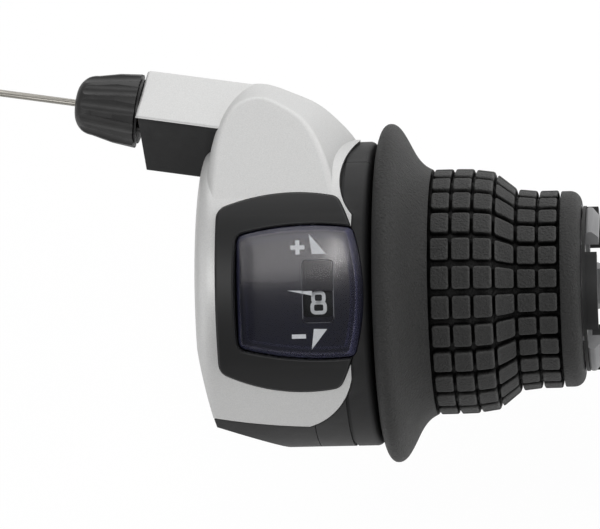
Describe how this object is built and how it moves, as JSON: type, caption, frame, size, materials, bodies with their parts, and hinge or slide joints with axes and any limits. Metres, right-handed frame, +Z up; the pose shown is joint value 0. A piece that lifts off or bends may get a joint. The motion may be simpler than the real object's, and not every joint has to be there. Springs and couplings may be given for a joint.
{
  "type": "bicycle twist grip shifter",
  "caption": "Handlebar twist shifter: a rubber grip turns a wire drum in a black and silver case with a domed gear window, a wire adjuster and a free shift wire.",
  "frame": {"origin": "on the handlebar's axis, inside the outboard end of the case", "axes": "+X along the bar, outboard; +Z up; the window looks up at the rider, half way between -Y and +Z; the wire nose points inboard, towards -X"},
  "size_m": [0.1481, 0.0608, 0.0633],
  "materials": {
    "silver_cover": "satin silver",
    "black_case": "matte",
    "charcoal_bezel": "satin",
    "clear_lens": "clear, tinted",
    "dial_black": "satin",
    "grey_sleeve": "satin",
    "steel": "zinc plated",
    "wire_steel": "bare",
    "guide_plastic": "smooth",
    "drum_plastic": "smooth",
    "number_black": "satin",
    "grip_rubber": "matte, fine grain",
    "adjuster_black": "satin",
    "stem_brass": "turned",
    "tie_plastic": "smooth",
    "cap_aluminium": "crimped"
  },
  "bodies": {
    "housing": {"front_cover": "silver_cover", "rear_cover": "silver_cover", "bracket_case": "black_case", "case_front_half": "black_case", "case_rear_half": "black_case", "bezel": "charcoal_bezel", "lens": "clear_lens", "dial_plate": "dial_black", "inner_sleeve": "grey_sleeve", "end_washer": "black_case", "clamp_screw": "steel", "clamp_nut": "steel", "cover_screws": "steel", "case_screws": "steel", "index_spring": "steel", "wire_guide": "guide_plastic", "inner_wire": "wire_steel", "shift_wire": "wire_steel", "wire_coil": "wire_steel", "coil_tie": "tie_plastic", "wire_end_cap": "cap_aluminium"},
    "twist": {"cable_drum": "drum_plastic", "wire_head": "steel", "detent_ring": "drum_plastic", "number_ring": "number_black", "grip_core": "drum_plastic", "grip_rubber": "grip_rubber"},
    "collar": {"click_collar": "adjuster_black"},
    "adjuster": {"adjuster_barrel": "adjuster_black", "adjuster_stem": "stem_brass"}
  },
  "joints": [
    {"name": "twist", "type": "hinge", "parent": "housing", "child": "twist", "pos_m": [0, 0, 0], "axis": [1, 0, 0], "range_deg": [0, 73.5], "deforming": ["index_spring", "inner_wire"]},
    {"name": "adjuster_travel", "type": "slide", "parent": "housing", "child": "collar", "axis": [-0.9877, 0.1106, 0.1106], "range_m": [0, 0.0016]},
    {"name": "adjuster_turn", "type": "hinge", "parent": "collar", "child": "adjuster", "pos_m": [-0.03961, 0.02095, 0.02519], "axis": [-0.9877, 0.1106, 0.1106], "range_deg": [0, 720]}
  ],
  "couplings": [
    {"joint": "adjuster_turn", "follows": "adjuster_travel", "rad_per_m": 7854}
  ]
}
